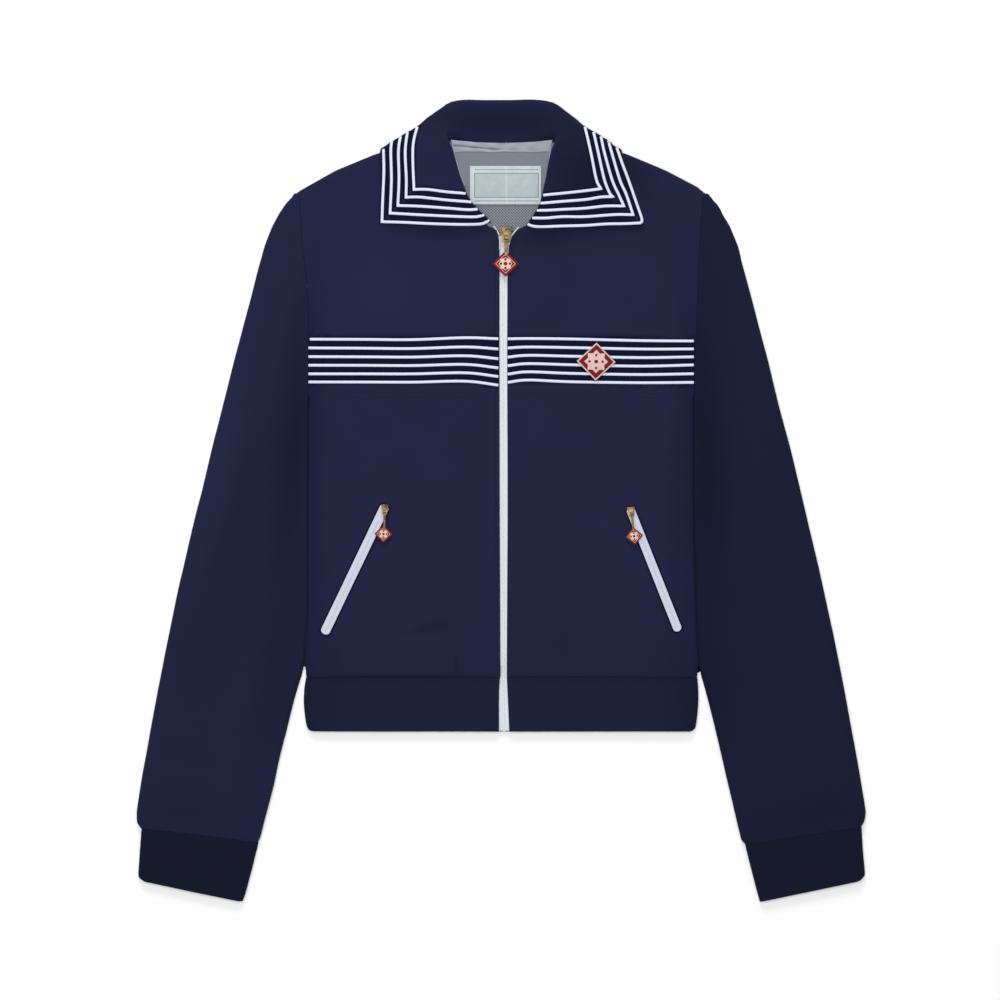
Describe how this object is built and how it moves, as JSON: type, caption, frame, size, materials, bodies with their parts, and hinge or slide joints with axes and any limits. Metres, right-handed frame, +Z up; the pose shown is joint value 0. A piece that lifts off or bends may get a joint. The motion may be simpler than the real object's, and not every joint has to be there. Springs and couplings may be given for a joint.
{
  "type": "track jacket",
  "caption": "Zip-up track jacket of navy knit laid flat, with a fold-over collar, white braid over collar and chest, slanting zip pockets, folded cuffs and waistband.",
  "frame": {"origin": "centre of the footprint, on the surface the jacket lies on", "axes": "+X towards the wearer's left, +Y towards the collar, +Z up from the surface, out of the front"},
  "size_m": [0.6823, 0.7515, 0.017],
  "materials": {
    "navy_knit": "matte",
    "navy_band": "matte",
    "white_braid": "matte",
    "lining_mesh": "matte",
    "label_white": "satin",
    "brass": "polished",
    "enamel_red": "gloss"
  },
  "bodies": {
    "jacket": {"back": "navy_knit", "chest_braid_left_1": "white_braid", "chest_braid_left_2": "white_braid", "chest_braid_left_3": "white_braid", "chest_braid_left_4": "white_braid", "chest_braid_left_5": "white_braid", "chest_braid_left_6": "white_braid", "chest_braid_right_1": "white_braid", "chest_braid_right_2": "white_braid", "chest_braid_right_3": "white_braid", "chest_braid_right_4": "white_braid", "chest_braid_right_5": "white_braid", "chest_braid_right_6": "white_braid", "chest_patch": "enamel_red", "collar": "navy_knit", "collar_braid_left_1": "white_braid", "collar_braid_left_2": "white_braid", "collar_braid_left_3": "white_braid", "collar_braid_left_4": "white_braid", "collar_braid_left_5": "white_braid", "collar_braid_right_1": "white_braid", "collar_braid_right_2": "white_braid", "collar_braid_right_3": "white_braid", "collar_braid_right_4": "white_braid", "collar_braid_right_5": "white_braid", "cuff_left": "navy_band", "cuff_right": "navy_band", "front_left": "navy_knit", "front_right": "navy_knit", "hem_back": "navy_band", "hem_front_left": "navy_band", "hem_front_right": "navy_band", "neck_label": "label_white", "neck_lining": "lining_mesh", "neck_tape": "label_white", "pocket_left_slider": "brass", "pocket_right_slider": "brass", "pocket_tape_left": "white_braid", "pocket_tape_right": "white_braid", "sleeve_left": "navy_knit", "sleeve_right": "navy_knit", "zip_coil": "white_braid", "zip_slider": "brass", "zip_tape_left": "white_braid", "zip_tape_right": "white_braid"},
    "zip_pull": {"zip_pull": "brass", "zip_charm": "enamel_red"},
    "pocket_pull_right": {"pocket_right_pull": "brass", "pocket_right_charm": "enamel_red"},
    "pocket_pull_left": {"pocket_left_pull": "brass", "pocket_left_charm": "enamel_red"}
  },
  "joints": [
    {"name": "zip_pull_swing", "type": "hinge", "parent": "jacket", "child": "zip_pull", "pos_m": [0.0046, 0.2465, 0.01278], "axis": [-1, 0, 0], "range_deg": [0, 140]},
    {"name": "pocket_pull_right_swing", "type": "hinge", "parent": "jacket", "child": "pocket_pull_right", "pos_m": [-0.10943, -0.01011, 0.01264], "axis": [-0.9994, 0.0349, 0], "range_deg": [0, 150]},
    {"name": "pocket_pull_left_swing", "type": "hinge", "parent": "jacket", "child": "pocket_pull_left", "pos_m": [0.12229, -0.01246, 0.01237], "axis": [-0.9925, -0.1219, 0], "range_deg": [0, 150]}
  ]
}
